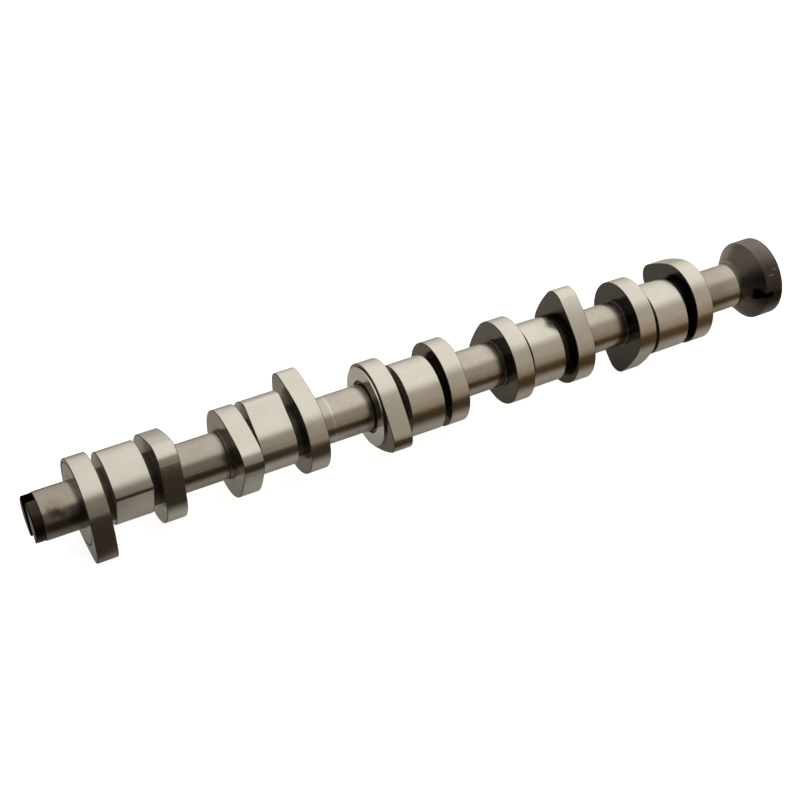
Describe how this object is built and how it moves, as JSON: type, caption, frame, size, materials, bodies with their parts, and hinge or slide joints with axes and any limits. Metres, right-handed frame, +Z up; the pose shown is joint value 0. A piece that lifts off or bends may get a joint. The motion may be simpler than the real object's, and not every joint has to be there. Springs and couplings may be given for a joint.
{
  "type": "camshaft",
  "caption": "One-piece camshaft with valve and injector cams in groups between ground journals, a slotted nose and a flared end for the gear.",
  "frame": {"origin": "middle of the footprint, on the surface that the shaft lies on", "axes": "+X along the shaft towards the flared end, +Z up; the shaft rests on three lobes, so its axis rises by 1.21 degrees towards +X"},
  "size_m": [0.4948, 0.0698, 0.0695],
  "materials": {
    "steel": "ground and polished steel, with heat tint at the nose and a dark oxide on the flared end"
  },
  "bodies": {
    "root": {"camshaft": "steel"}
  },
  "joints": []
}
